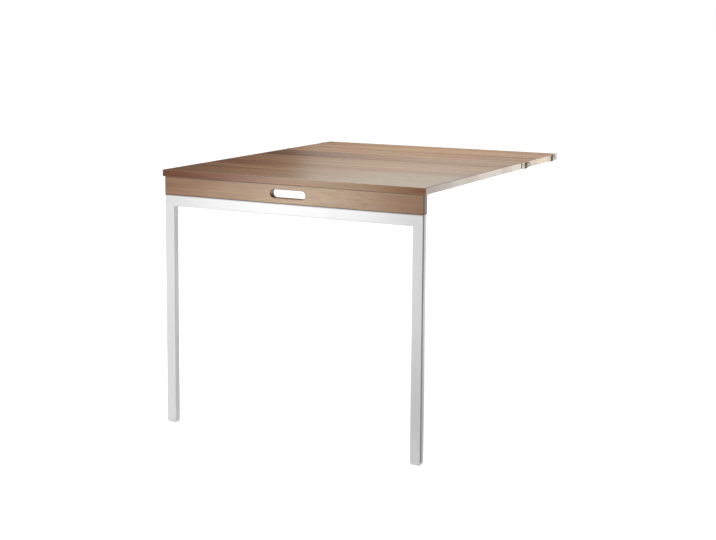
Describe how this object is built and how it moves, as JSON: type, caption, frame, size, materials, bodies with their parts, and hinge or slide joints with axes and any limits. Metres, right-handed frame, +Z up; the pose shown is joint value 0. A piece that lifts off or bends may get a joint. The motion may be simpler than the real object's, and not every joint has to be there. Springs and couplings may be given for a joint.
{
  "type": "wall mounted drop leaf table",
  "caption": "Wall-hung folding table: a fixed shelf with rung hooks, a drop leaf with an apron and grip slot, and a folding leg frame of white tube.",
  "frame": {"origin": "on the floor, under the middle of the table's outline seen from above", "axes": "+X along the seam, to the right of a person who faces the wall; +Y from the leaf's free edge to the wall; +Z up"},
  "size_m": [0.801, 0.96, 0.702],
  "materials": {
    "walnut": "veneered board with a grain along the seam, satin lacquer",
    "beech": "plain turned dowels",
    "white_coat": "white powder coat, satin",
    "white_plastic": "moulded, matte",
    "zinc_steel": "zinc-plated, satin",
    "screw_steel": "zinc-plated, satin",
    "dark_steel": "blackened steel strip, satin",
    "pad_rubber": "matte"
  },
  "bodies": {
    "shelf": {"fixed_shelf": "walnut", "front_left_rung_hook": "dark_steel", "front_right_rung_hook": "dark_steel", "rear_left_rung_hook": "dark_steel", "rear_right_rung_hook": "dark_steel", "hook_screws": "screw_steel", "leaf_hinge_shelf_wing": "zinc_steel", "leaf_hinge_pin": "zinc_steel", "shelf_wing_screws": "screw_steel"},
    "leaf": {"drop_leaf": "walnut", "apron": "walnut", "apron_dowels": "beech", "leaf_hinge_leaf_wing": "zinc_steel", "leaf_wing_screws": "screw_steel", "left_leg_hinge_apron_wing": "zinc_steel", "right_leg_hinge_apron_wing": "zinc_steel", "left_leg_hinge_pin": "zinc_steel", "right_leg_hinge_pin": "zinc_steel", "apron_wing_screws": "screw_steel", "left_rest_pad": "pad_rubber", "right_rest_pad": "pad_rubber"},
    "leg_frame": {"top_rail": "white_coat", "left_leg": "white_coat", "right_leg": "white_coat", "left_leg_hinge_rail_wing": "zinc_steel", "right_leg_hinge_rail_wing": "zinc_steel", "rail_wing_screws": "screw_steel", "left_foot": "white_plastic", "right_foot": "white_plastic"}
  },
  "joints": [
    {"name": "leaf_drop", "type": "hinge", "parent": "shelf", "child": "leaf", "pos_m": [0, 0.18, 0.68095], "axis": [1, 0, 0], "range_deg": [0, 90]},
    {"name": "leg_fold", "type": "hinge", "parent": "leaf", "child": "leg_frame", "pos_m": [0, -0.45395, 0.634], "axis": [1, 0, 0], "range_deg": [0, 94.5]}
  ]
}
